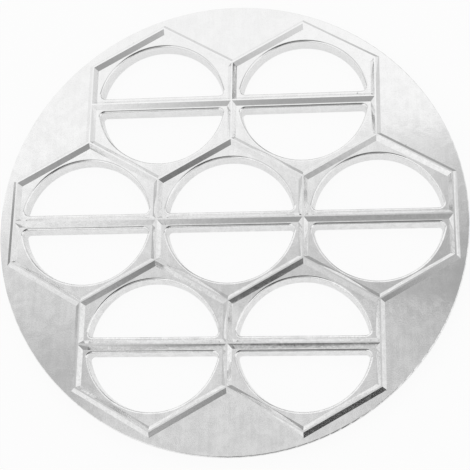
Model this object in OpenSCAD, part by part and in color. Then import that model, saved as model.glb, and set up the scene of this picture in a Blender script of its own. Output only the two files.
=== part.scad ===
// Dumpling mold: one aluminium casting. A flat round plate carries seven hexagonal cells,
// fenced by mitred knife ridges. A ridge of the same section crosses each cell and parts its
// round opening into two half-moons. Under the plate a collar runs round every half-moon.
// The origin is the middle of the face that the collars stand on, and +Z points up.

/* [Honeycomb] */
// Side of one hexagonal cell, measured between the middles of the ridges
cell_side = 45; // [40:0.5:55]
// Height of the ridges above the plate
ridge_h = 2.5; // [1.5:0.1:4]
// Width of a ridge at its foot
ridge_w = 5; // [3.5:0.1:7]
// Width of the flat crest that cuts the dough
crest_w = 0.8; // [0.5:0.1:1.6]

/* [Plate] */
// Thickness of the plate
plate_t = 3; // [2.5:0.1:5]
// Flat rim left outside the farthest corner of the honeycomb
rim_w = 5.9; // [4.5:0.1:20]
// Rounding of the rim's two edges
rim_round = 0.5; // [0.2:0.05:1]

/* [Openings] */
// Flat strip between the foot of a ridge and the rounded lip, where it is narrowest
floor_w = 0.45; // [0.2:0.05:2]
// Radius of the rounded lip round each opening
lip_r = 1.3; // [0.6:0.1:2]
// Radius of the upright corners of a half-moon
corner_r = 2.5; // [1.8:0.1:6]
// Draft of the opening walls, in degrees, narrowing downwards
draft = 6; // [2:0.5:8]

/* [Collars] */
// How far the collars stand below the plate
collar_h = 4.5; // [2.5:0.1:8]
// Thickness of a collar wall
collar_t = 2; // [1.5:0.1:2.5]
// Fillet between a collar and the underside of the plate
root_r = 0.8; // [0.3:0.1:1]

/* [Hidden] */
$fn = 128;

// Levels above the face that the mold rests on
floor_z = collar_h + plate_t;
crest_z = floor_z + ridge_h;
lip_z = floor_z - lip_r;

// The honeycomb: rows of two, three and two cells, with corners pointing back and front
cell_w = sqrt(3) * cell_side;
row_pitch = 1.5 * cell_side;
rows = [[-1, 2], [0, 3], [1, 2]];
cell_centres = [
    for (row = rows)
    for (i = [0 : row[1] - 1])
    [(i - (row[1] - 1) / 2) * cell_w, row[0] * row_pitch]
];
plate_r = sqrt(7) * cell_side + rim_w;

// One half-moon, seen from above, where its wall meets the lip. It is a segment of a circle,
// with corners at corner_x and corner_y, widened all round by corner_r.
opening_r = (cell_w - ridge_w) / 2 - floor_w - lip_r;
corner_y = ridge_w / 2 + floor_w + lip_r + corner_r;
corner_x = sqrt(pow(opening_r - corner_r, 2) - pow(corner_y, 2));
corner_turn = atan2(corner_y, corner_x);

// How far a ridge's flank runs sideways for each millimetre of height
flank = (ridge_w - crest_w) / 2 / ridge_h;
// How far a cut runs past a surface, a length greater than the whole mold, and the angle by
// which one sweep runs on into the next
past = 0.1;
reach = 4 * plate_r;
run_on = 10;

// How far the leaning wall has moved into the opening at a level below the lip
function lean(level) = tan(draft) * (lip_z - level);

// A straight bar along X with sloping sides, given by its widths and levels below and above
module sloped_bar(low_w, high_w, low_z, high_z) {
    rotate([90, 0, 90])
        linear_extrude(reach, center = true)
            polygon([
                [-low_w / 2, low_z],
                [low_w / 2, low_z],
                [high_w / 2, high_z],
                [-high_w / 2, high_z]
            ]);
}

// A hexagon with sloping sides, given by its widths across the flats
module sloped_hexagon(low_w, high_w, low_z, high_z) {
    intersection_for (turn = [30, 90, 150])
        rotate(turn)
            sloped_bar(low_w, high_w, low_z, high_z);
}

// The hollow of one cell above the plate, with the bar left standing across it
module cell_hollow() {
    widening = 2 * flank * past;
    difference() {
        sloped_hexagon(cell_w - ridge_w, cell_w - crest_w + widening, floor_z, crest_z + past);
        sloped_bar(ridge_w + widening, crest_w - widening, floor_z - past, crest_z + past);
    }
}

// Sweeps a section round the outline of a half-moon and fills the inside. The section's X is
// the distance from the line or axis that it is swept about, and its Y is the height. It
// reads $wall, the distance at which the wall line of the half-moon stands.
module half_moon() {
    // The round wall, from one corner to the other
    intersection() {
        rotate_extrude()
            let ($wall = opening_r)
            children();
        linear_extrude(2 * crest_z, center = true)
            polygon([
                [-corner_x, corner_y],
                [corner_x, corner_y],
                [corner_x, corner_y] * 2,
                [0, reach],
                [-corner_x, corner_y] * 2
            ]);
    }
    // The straight wall along the bar
    translate([0, corner_y, 0])
        rotate([90, 0, -90])
            linear_extrude(2 * corner_x, center = true)
                let ($wall = corner_r)
                children();
    // The two upright corners. Each runs on inside the round wall, so no film is left between
    for (side = [0, 1])
        mirror([side, 0, 0])
            translate([corner_x, corner_y, 0])
                rotate(-90)
                    rotate_extrude(angle = 90 + corner_turn + run_on)
                        let ($wall = corner_r)
                        children();
}

// The two half-moons of one cell
module pair() {
    for (side = [0, 1])
        mirror([0, side, 0])
            half_moon()
                children();
}

// Section of an opening: leaning wall below, rounded lip above
module opening_section() {
    difference() {
        polygon([
            [0, -past],
            [$wall - lean(-past), -past],
            [$wall, lip_z],
            [$wall + lip_r, lip_z],
            [$wall + lip_r, floor_z + past],
            [0, floor_z + past]
        ]);
        translate([$wall + lip_r, lip_z])
            circle(lip_r);
    }
}

// Section of a filled collar: it leans as the wall does, spreads by a fillet below the plate
// and ends half way up inside the plate
module collar_section() {
    root_z = collar_h - root_r;
    root_x = $wall + collar_t - lean(root_z);
    difference() {
        polygon([
            [0, 0],
            [$wall + collar_t - lean(0), 0],
            [root_x, root_z],
            [root_x + root_r, root_z],
            [root_x + root_r, collar_h + plate_t / 2],
            [0, collar_h + plate_t / 2]
        ]);
        translate([root_x + root_r, root_z])
            circle(root_r);
    }
}

// Section of the plate: flat, with both edges of the rim rounded
module plate_section() {
    square([plate_r - rim_round, plate_t]);
    translate([0, rim_round])
        square([plate_r, plate_t - 2 * rim_round]);
    for (level = [rim_round, plate_t - rim_round])
        translate([plate_r - rim_round, level])
            circle(rim_round);
}

module mold() {
    color([0.82, 0.83, 0.84])
        difference() {
            union() {
                translate([0, 0, collar_h])
                    rotate_extrude()
                        plate_section();
                for (centre = cell_centres)
                    translate(centre) {
                        sloped_hexagon(cell_w + ridge_w, cell_w + crest_w, floor_z, crest_z);
                        pair()
                            collar_section();
                    }
            }
            for (centre = cell_centres)
                translate(centre) {
                    cell_hollow();
                    pair()
                        opening_section();
                }
        }
}

mold();
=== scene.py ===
import math

import bpy
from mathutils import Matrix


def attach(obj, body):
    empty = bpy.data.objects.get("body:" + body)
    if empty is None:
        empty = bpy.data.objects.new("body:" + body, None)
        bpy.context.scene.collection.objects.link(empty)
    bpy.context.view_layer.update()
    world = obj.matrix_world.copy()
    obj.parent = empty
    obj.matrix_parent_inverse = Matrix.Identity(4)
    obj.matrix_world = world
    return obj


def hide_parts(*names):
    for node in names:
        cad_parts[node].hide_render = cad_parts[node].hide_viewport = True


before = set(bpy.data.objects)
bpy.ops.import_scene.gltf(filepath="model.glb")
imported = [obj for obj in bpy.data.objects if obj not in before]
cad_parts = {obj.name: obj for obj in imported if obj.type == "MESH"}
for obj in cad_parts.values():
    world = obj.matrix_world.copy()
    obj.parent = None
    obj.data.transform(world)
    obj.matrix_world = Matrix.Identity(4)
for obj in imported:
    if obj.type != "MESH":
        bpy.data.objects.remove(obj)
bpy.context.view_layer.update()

scene = bpy.context.scene
scene.view_settings.view_transform = "Standard"


# The camera
# It looks down on the mold from above, a little in front of it and to its right, through a
# long lens.
camera_data = bpy.data.cameras.new("photo_camera")
camera_data.lens = 88.43
camera_data.sensor_width = 36
camera = bpy.data.objects.new("photo_camera", camera_data)
camera.location = (0.07295, -0.19175, 0.5834)
camera.rotation_euler = [math.radians(turn) for turn in (17.591, 6.630, 0.946)]
scene.collection.objects.link(camera)
scene.camera = camera


# The casting
# The mold is one cast aluminium disc, with knife ridges, half-moon openings and collars. The die
# leaves its edges a little round. The face is tumbled to a satin shine, the crests are rubbed
# bright by the rolling pin, and the underside keeps the duller skin of the die.
edge_round = 0.00011
sharp_angle = math.radians(24)
flat_angle = math.radians(0.1)
same_point = 1e-6
casting = bpy.data.objects.new("mold_casting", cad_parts["mold"].data.copy())
scene.collection.objects.link(casting)
bpy.ops.object.select_all(action="DESELECT")
casting.select_set(True)
bpy.context.view_layer.objects.active = casting
bpy.ops.mesh.customdata_custom_splitnormals_clear()
bpy.ops.object.mode_set(mode="EDIT")
bpy.ops.mesh.select_all(action="SELECT")
bpy.ops.mesh.remove_doubles(threshold=same_point)
bpy.ops.mesh.dissolve_limited(angle_limit=flat_angle)
bpy.ops.object.mode_set(mode="OBJECT")
bpy.ops.object.shade_smooth_by_angle(angle=sharp_angle)

rounding = casting.modifiers.new("edge_round", "BEVEL")
rounding.width = edge_round
rounding.segments = 2
rounding.limit_method = "ANGLE"
rounding.angle_limit = sharp_angle
bpy.ops.object.modifier_apply(modifier="edge_round")
flat_faces = casting.modifiers.new("flat_faces", "WEIGHTED_NORMAL")
flat_faces.mode = "FACE_AREA"
flat_faces.keep_sharp = True
bpy.ops.object.modifier_apply(modifier="flat_faces")


def new_group(name, inputs, output):
    """An empty node group with one float output. Its inputs are floats, or vectors if None."""
    group = bpy.data.node_groups.new(name, "ShaderNodeTree")
    for socket, value in inputs.items():
        kind = "NodeSocketVector" if value is None else "NodeSocketFloat"
        item = group.interface.new_socket(socket, in_out="INPUT", socket_type=kind)
        if value is not None:
            item.default_value = value
    group.interface.new_socket(output, in_out="OUTPUT", socket_type="NodeSocketFloat")
    given, result = group.nodes.new("NodeGroupInput"), group.nodes.new("NodeGroupOutput")
    return group, given.outputs, result.inputs


def add_node(tree, kind, settings=None, **inputs):
    """A node with its settings. Each input, by name or as i and its number, is set or linked."""
    node = tree.nodes.new(kind)
    for name, value in (settings or {}).items():
        setattr(node, name, value)
    for name, value in inputs.items():
        socket = node.inputs[int(name[1:]) if name[1:].isdigit() else name.replace("_", " ")]
        if isinstance(value, bpy.types.NodeSocket):
            tree.links.new(value, socket)
        else:
            socket.default_value = value
    return node


def reckon(tree, operation, *values, clamp=False):
    """The result of one step of arithmetic."""
    node = add_node(tree, "ShaderNodeMath", {"operation": operation, "use_clamp": clamp},
                    **{"i%d" % number: value for number, value in enumerate(values)})
    return node.outputs[0]


def soft_step(tree, value, start, end, top=1.0):
    """A smooth rise from 0 at the start to the top at the end."""
    return add_node(tree, "ShaderNodeMapRange", {"interpolation_type": "SMOOTHSTEP"}, Value=value,
                    From_Min=start, From_Max=end, To_Max=top).outputs[0]


# Soft clouds of lighter and darker metal, as tumbling and washing leave them
cloudy_skin, given, result = new_group(
    "cloudy_skin", {"Vector": None, "Patches": 60.0, "Swirl": 0.01}, "Mask")
swirl = add_node(cloudy_skin, "ShaderNodeTexNoise", Vector=given["Vector"], Scale=90.0, Detail=2.0)
centred = add_node(cloudy_skin, "ShaderNodeVectorMath", {"operation": "SUBTRACT"},
                   i0=swirl.outputs["Color"], i1=(0.5, 0.5, 0.5))
shifted = add_node(cloudy_skin, "ShaderNodeVectorMath", {"operation": "SCALE"},
                   i0=centred.outputs[0], Scale=given["Swirl"])
warped = add_node(cloudy_skin, "ShaderNodeVectorMath", {"operation": "ADD"},
                  i0=given["Vector"], i1=shifted.outputs[0])
clouds = add_node(cloudy_skin, "ShaderNodeTexNoise", Vector=warped.outputs[0],
                  Scale=given["Patches"], Detail=5.0, Roughness=0.62)
cloudy_skin.links.new(soft_step(cloudy_skin, clouds.outputs[0], 0.3, 0.7), result["Mask"])

# Fine grain of the skin
skin_grain, given, result = new_group("skin_grain", {"Vector": None, "Grain": 900.0}, "Height")
grain = add_node(skin_grain, "ShaderNodeTexNoise", Vector=given["Vector"],
                 Scale=given["Grain"], Detail=3.0, Roughness=0.7)
spread = add_node(skin_grain, "ShaderNodeMapRange", Value=grain.outputs[0],
                  From_Min=0.3, From_Max=0.7)
skin_grain.links.new(spread.outputs[0], result["Height"])

# Faint drag lines along one direction
drag_lines, given, result = new_group(
    "drag_lines", {"Vector": None, "Lines": 500.0, "Stretch": 0.06}, "Mask")
stretch = add_node(drag_lines, "ShaderNodeCombineXYZ", X=1.0, Y=given["Stretch"], Z=1.0)
along = add_node(drag_lines, "ShaderNodeVectorMath", {"operation": "MULTIPLY"},
                 i0=given["Vector"], i1=stretch.outputs[0])
lines = add_node(drag_lines, "ShaderNodeTexNoise", Vector=along.outputs[0],
                 Scale=given["Lines"], Detail=3.0, Roughness=0.6)
drag_lines.links.new(soft_step(drag_lines, lines.outputs[0], 0.35, 0.65), result["Mask"])

# Small pores that the gas in the melt leaves
pores, given, result = new_group(
    "pores", {"Vector": None, "Spacing": 160.0, "Rarity": 0.93, "Size": 0.09}, "Mask")
cells = add_node(pores, "ShaderNodeTexVoronoi", Vector=given["Vector"], Scale=given["Spacing"])
pick = add_node(pores, "ShaderNodeSeparateColor", Color=cells.outputs["Color"])
rare = reckon(pores, "GREATER_THAN", pick.outputs[0], given["Rarity"])
near = add_node(pores, "ShaderNodeMapRange", Value=cells.outputs["Distance"],
                From_Min=given["Size"], From_Max=0.0)
pores.links.new(reckon(pores, "MULTIPLY", rare, near.outputs[0]), result["Mask"])

# Painted light: stronger mottle at the front, calmer at the back where bright light washes it out
strongest_contrast_y, weakest_contrast_y = -0.05, 0.1
front_painted_contrast, given, result = new_group("front_painted_contrast", {"Vector": None, "Wear": 0.5}, "Wear")
place = add_node(front_painted_contrast, "ShaderNodeSeparateXYZ", i0=given["Vector"])
painted_contrast_gain = add_node(front_painted_contrast, "ShaderNodeMapRange", Value=place.outputs["Y"],
                   From_Min=weakest_contrast_y, From_Max=strongest_contrast_y, To_Min=0.6, To_Max=2.4)
uneven = reckon(front_painted_contrast, "SUBTRACT", given["Wear"], 0.5)
mottle_with_painted_contrast = reckon(front_painted_contrast, "MULTIPLY_ADD", uneven, painted_contrast_gain.outputs[0], 0.5)
front_painted_contrast.links.new(mottle_with_painted_contrast, result["Wear"])


# Painted shade: the pores are painted dark grey for the shade inside them
pore_painted_shade = (0.25, 0.25, 0.25, 1)


def aluminium(name, greys, roughnesses, scales, shares, wave, bite, turn=0):
    """An aluminium skin: its grey and its roughness where fresh and where worn, the scales of
    its clouds, drag lines and grain, the shares of those three in its wear, the height of its
    waves and grain in metres, and how far in degrees the lines are turned about X."""
    material = bpy.data.materials.new(name)
    material.use_nodes = True
    tree = material.node_tree
    shader = tree.nodes["Principled BSDF"]
    shader.inputs["Metallic"].default_value = 1
    place = add_node(tree, "ShaderNodeTexCoord").outputs["Object"]
    turned = add_node(tree, "ShaderNodeMapping", Vector=place, Rotation=(math.radians(turn), 0, 0))
    clouds = add_node(tree, "ShaderNodeGroup", {"node_tree": cloudy_skin},
                      Vector=place, Patches=scales[0]).outputs[0]
    drags = add_node(tree, "ShaderNodeGroup", {"node_tree": drag_lines},
                     Vector=turned.outputs[0], Lines=scales[1]).outputs[0]
    fine = add_node(tree, "ShaderNodeGroup", {"node_tree": skin_grain},
                    Vector=place, Grain=scales[2]).outputs[0]
    holes = add_node(tree, "ShaderNodeGroup", {"node_tree": pores}, Vector=place).outputs[0]
    mottle = 0.0
    for mask, share in zip((clouds, drags, fine), shares):
        mottle = reckon(tree, "MULTIPLY_ADD", mask, share, mottle, clamp=True)
    # Painted light: the mottle is made stronger towards the front and calmer towards the back
    mottle = add_node(tree, "ShaderNodeGroup", {"node_tree": front_painted_contrast},
                    Vector=place, Wear=mottle).outputs[0]
    colour = add_node(tree, "ShaderNodeMix", {"data_type": "RGBA"}, Factor=mottle,
                      i6=(*[greys[0]] * 3, 1), i7=(*[greys[1]] * 3, 1))
    # Painted shade: dark grey is painted where the pores are, for the shade inside them
    colour_with_painted_pore_shade = add_node(tree, "ShaderNodeMix", {"data_type": "RGBA"}, Factor=holes,
                      i6=colour.outputs[2], i7=pore_painted_shade)
    tree.links.new(colour_with_painted_pore_shade.outputs[2], shader.inputs["Base Color"])
    roughness = add_node(tree, "ShaderNodeMapRange", Value=mottle,
                         To_Min=roughnesses[0], To_Max=roughnesses[1])
    tree.links.new(roughness.outputs[0], shader.inputs["Roughness"])
    waves = add_node(tree, "ShaderNodeBump", Height=clouds, Distance=wave)
    skin = add_node(tree, "ShaderNodeBump", Height=fine, Distance=bite, Normal=waves.outputs[0])
    tree.links.new(skin.outputs[0], shader.inputs["Normal"])
    return material


satin_face = aluminium("satin_face", (1.0, 0.78), (0.02, 0.10), (160, 500, 2000),
                       (0.26, 0.1, 0.64), wave=6e-6, bite=3e-7)
rubbed_crest = aluminium("rubbed_crest", (0.97, 0.84), (0.03, 0.14), (300, 700, 2000),
                         (0.3, 0.3, 0.4), wave=3e-6, bite=3e-7)
ridge_flank = aluminium("ridge_flank", (0.98, 0.84), (0.05, 0.15), (420, 900, 1500),
                        (0.4, 0.1, 0.5), wave=3e-6, bite=5e-7)
drawn_wall = aluminium("drawn_wall", (0.97, 0.84), (0.06, 0.16), (260, 700, 1800),
                       (0.45, 0.1, 0.45), wave=4e-6, bite=4e-7, turn=90)
cast_underside = aluminium("cast_underside", (0.78, 0.68), (0.30, 0.48), (90, 500, 1300),
                           (0.5, 0.1, 0.4), wave=4e-5, bite=4e-6)
skins = [satin_face, rubbed_crest, ridge_flank, drawn_wall, cast_underside]
casting.data.materials.clear()
for skin in skins:
    casting.data.materials.append(skin)

# Each face takes its skin by its height, by how far it looks upwards and, for the walls of the
# openings, by its distance from the middle
crest_level, plate_level, lip_level = 0.00999, 0.00752, 0.0063
openings_end = 0.122
flank_up, wall_up, under_up = 0.75, 0.3, -0.02
for face in casting.data.polygons:
    height, up = face.center.z, face.normal.z
    if height > crest_level:
        skin = rubbed_crest
    elif height > plate_level and up < flank_up:
        skin = ridge_flank
    elif up < under_up:
        skin = cast_underside
    elif up < wall_up and height < lip_level and face.center.xy.length < openings_end:
        skin = drawn_wall
    else:
        skin = satin_face
    face.material_index = skins.index(skin)
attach(casting, "root")
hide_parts("mold")


# The table
# A pale matt table top carries the mold. It shows white to the lens and in the metal, where some
# of the mold's shade on it shows too.
lens_share, metal_share = 0.93, 0.65
bpy.ops.mesh.primitive_plane_add(size=8, location=(0, 0, 0))
table = bpy.context.object
table.name = "table"
table_white = bpy.data.materials.new("table_white")
table_white.use_nodes = True
tree = table_white.node_tree
tree.nodes.clear()
matt = add_node(tree, "ShaderNodeBsdfDiffuse", Color=(0.8, 0.8, 0.8, 1))
glow = add_node(tree, "ShaderNodeEmission", Strength=1.0)
rays = add_node(tree, "ShaderNodeLightPath").outputs
in_metal = reckon(tree, "ADD", rays["Is Glossy Ray"], rays["Is Transmission Ray"], clamp=True)
to_lens = reckon(tree, "MULTIPLY", rays["Is Camera Ray"], lens_share)
white_share = reckon(tree, "MULTIPLY_ADD", in_metal, metal_share, to_lens)
mix = add_node(tree, "ShaderNodeMixShader",
               i0=white_share, i1=matt.outputs[0], i2=glow.outputs[0])
add_node(tree, "ShaderNodeOutputMaterial", Surface=mix.outputs[0])
table.data.materials.append(table_white)


# The studio
# A pale tent lights the mold evenly, with a darker roof and front, and a wide soft lamp hangs
# behind it. A small black card at the front right shows only in the metal, and draws the ridges'
# dark sides.
lamp_level = 0.44
softbox_data = bpy.data.lights.new("softbox", "AREA")
softbox_data.shape = "RECTANGLE"
softbox_data.size, softbox_data.size_y = 3.0, 1.6
softbox_data.energy = lamp_level * math.pi * softbox_data.size * softbox_data.size_y
softbox = bpy.data.objects.new("softbox", softbox_data)
softbox.location = (-0.43, 1.22, 1.5)
softbox.rotation_euler = (0, 0, math.radians(20.3))
softbox.visible_glossy = False
scene.collection.objects.link(softbox)

bpy.ops.mesh.primitive_plane_add(size=1, location=(0.118, -0.185, 0.01))
black_card = bpy.context.object
black_card.name = "black_card"
black_card.scale = (0.1, 0.018, 1)
black_card.rotation_euler = (math.radians(90), 0, math.radians(33))
card_black = bpy.data.materials.new("card_black")
card_black.use_nodes = True
paper = card_black.node_tree.nodes["Principled BSDF"].inputs
paper["Base Color"].default_value = (0.07, 0.07, 0.07, 1)
paper["Roughness"].default_value = 0.9
black_card.data.materials.append(card_black)
black_card.visible_camera = False
black_card.visible_diffuse = False
black_card.visible_shadow = False

tent = bpy.data.worlds.new("studio")
scene.world = tent
tent.use_nodes = True
tree = tent.node_tree
looking = add_node(tree, "ShaderNodeTexCoord").outputs["Generated"]
parts = add_node(tree, "ShaderNodeSeparateXYZ", i0=looking).outputs
around = reckon(tree, "DEGREES", reckon(tree, "ARCTAN2", parts["Y"], parts["X"]))
raised = reckon(tree, "DEGREES", reckon(tree, "ARCSINE", parts["Z"]))
level = 1.0

# Round places, each given by its direction and height in degrees, the angles from its middle at
# which it is full and at which it ends, and what it adds to the light
for direction, height, full, end, change in (
    (-74, 67.5, 20.5, 24.5, -0.75),
    (18.1, 73.5, 7.7, 14.8, 0.31),
    (-58.4, 46.3, 7.2, 13.8, -0.43),
    (-52.7, 2.4, 7.7, 11.2, 0.16),
):
    across, up = math.radians(direction), math.radians(height)
    axis = (math.cos(up) * math.cos(across), math.cos(up) * math.sin(across), math.sin(up))
    facing = add_node(tree, "ShaderNodeVectorMath", {"operation": "DOT_PRODUCT"},
                      i0=looking, i1=axis).outputs["Value"]
    patch = soft_step(tree, facing, math.cos(math.radians(end)), math.cos(math.radians(full)),
                      top=change)
    level = reckon(tree, "ADD", patch, level)

# Upright places, each given by its direction and height, its half width and half height, the
# width of its soft sides and of its soft top and bottom, and what it adds to the light
for direction, height, half_width, half_height, soft_side, soft_top, change in (
    (-76.9, 7.4, 23.6, 37.6, 14.6, 3, -0.61),
    (-49, 0, 11.5, 12.6, 10, 22, -0.64),
    (51.3, 14.6, 35.5, 28, 39.8, 23.2, -0.3),
    (68, 22, 7, 14, 6, 8, -0.3),
    (170.6, 13.8, 12.3, 22, 3, 12, -0.36),
    (161.5, 30, 4, 8, 4, 8, -0.3),
    (-164, 2.6, 15.2, 12.3, 11.4, 14.6, -0.18),
    (-119.9, 1.9, 21.7, 5.3, 30.5, 9, -0.32),
    (-92, 0, 9, 4, 12, 3, -0.18),
):
    masks = []
    for angle, middle, half, soft in (
        (around, direction, half_width, soft_side),
        (raised, height, half_height, soft_top),
    ):
        away = reckon(tree, "ABSOLUTE", reckon(tree, "SUBTRACT", angle, middle))
        masks.append(soft_step(tree, away, half + soft / 2, half - soft / 2))
    level = reckon(tree, "MULTIPLY_ADD", reckon(tree, "MULTIPLY", *masks), change, level)

# Straight cards under the roof, each given by how far right and how far back its edges lie for
# each metre of height, with the width of each soft edge, and by what it adds to the light
least_height = 0.05
above = reckon(tree, "MAXIMUM", parts["Z"], least_height)
rightward = reckon(tree, "DIVIDE", parts["X"], above)
backward = reckon(tree, "DIVIDE", parts["Y"], above)
for left, left_soft, right, right_soft, front, front_soft, back, back_soft, change in (
    (-1.02, 0.6, 0.58, 0.29, -0.45, 0.41, 0.328, 0.156, -0.276),
    (-0.177, 0.2, 1, 0.1, 0.2525, 0.006, 0.415, 0.15, -0.126),
    (-0.05, 0.1, 1, 0.1, 0.415, 0.006, 2, 0.1, 0.028),
    (-0.35, 0.076, -0.246, 0.06, 0.1, 0.08, 0.228, 0.087, -0.192),
    (0.054, 0.26, 1, 0.1, 0.143, 0.2, 0.415, 0.034, -0.311),
):
    card = 1.0
    for slope, edge, soft in (
        (rightward, left, left_soft), (rightward, right, -right_soft),
        (backward, front, front_soft), (backward, back, -back_soft),
    ):
        side = soft_step(tree, slope, edge - soft / 2, edge + soft / 2)
        card = reckon(tree, "MULTIPLY", side, card)
    level = reckon(tree, "MULTIPLY_ADD", card, change, level)

# The light of the darkest place, as in a dim room
darkest = 0.06
level = reckon(tree, "MAXIMUM", level, darkest)
tree.links.new(level, tree.nodes["Background"].inputs["Color"])
